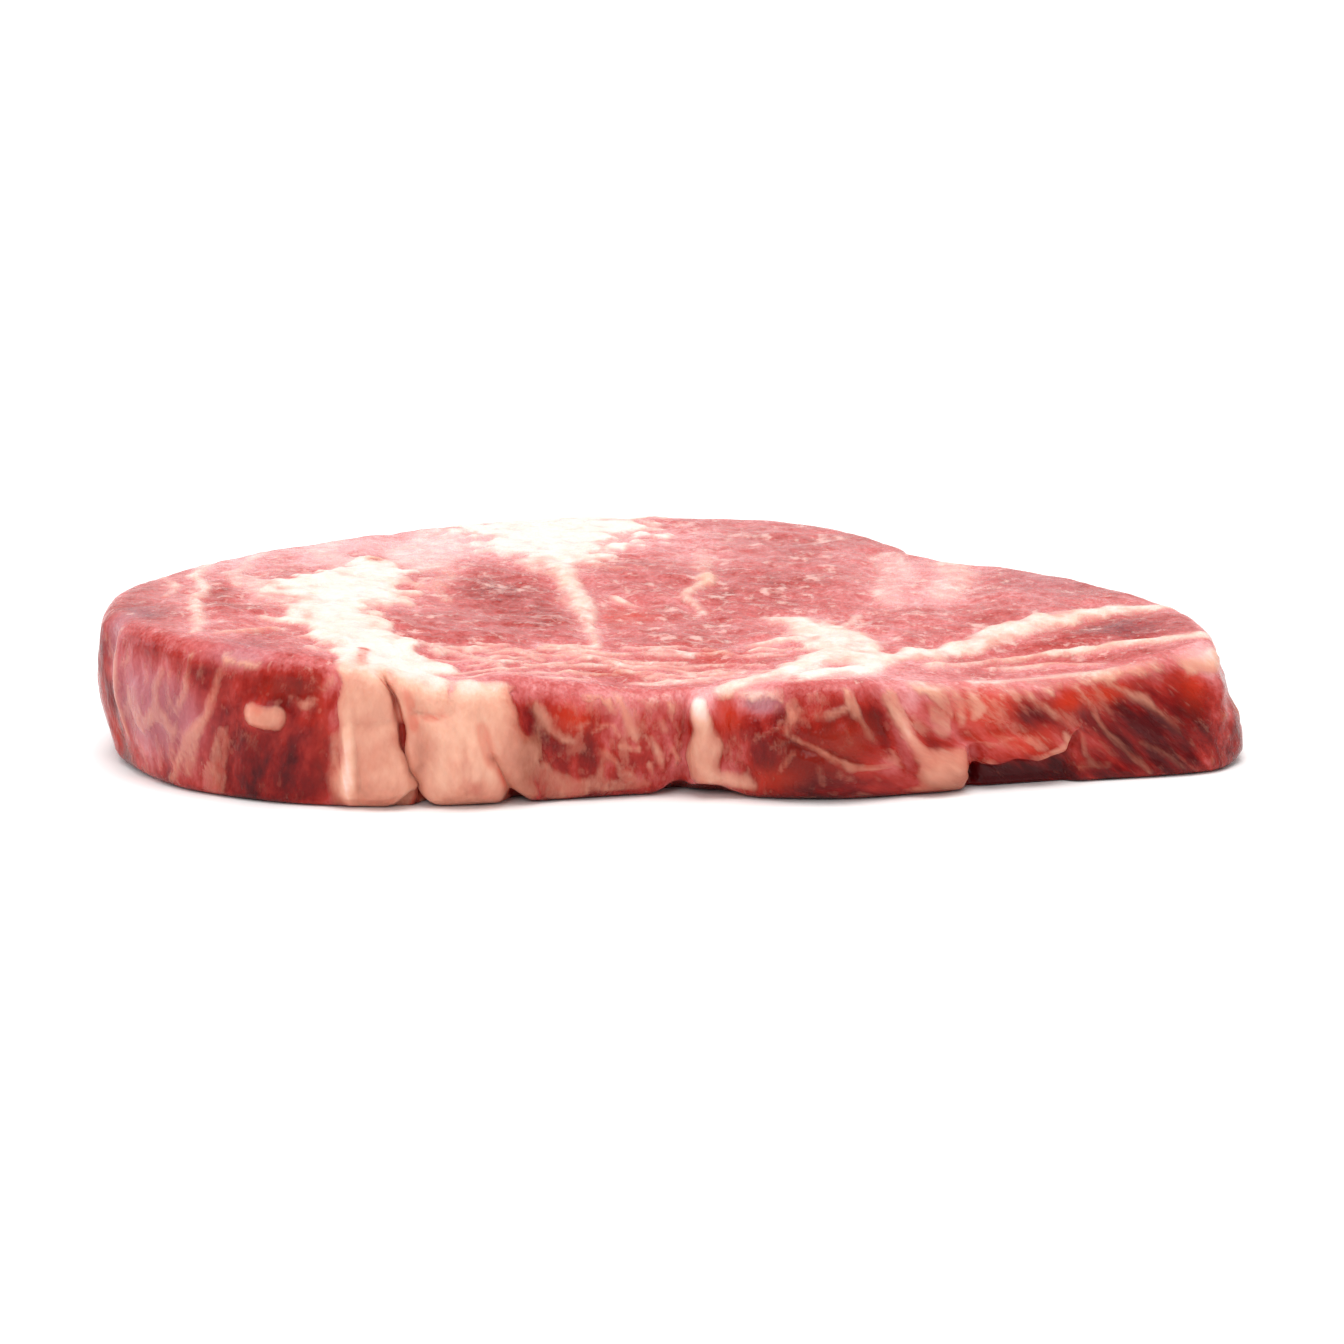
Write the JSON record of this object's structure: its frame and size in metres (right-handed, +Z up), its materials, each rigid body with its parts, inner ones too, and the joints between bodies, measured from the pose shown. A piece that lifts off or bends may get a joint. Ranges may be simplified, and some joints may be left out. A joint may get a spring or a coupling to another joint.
{
  "type": "raw beef steak",
  "caption": "Thick raw marbled rib steak lying flat, with a fat cap split by a cleft, lobed cut edges and a slanted right end.",
  "frame": {"origin": "centre of the steak's box, on the surface it lies on", "axes": "+X along the steak's length, thick left end to thin right end; -Y out of the long front edge with the fat cleft; +Z up through the slice"},
  "size_m": [0.2116, 0.149, 0.0287],
  "materials": {
    "meat": "wet raw beef, red lean with cream fat seams and marbling"
  },
  "bodies": {
    "root": {"steak": "meat"}
  },
  "joints": []
}
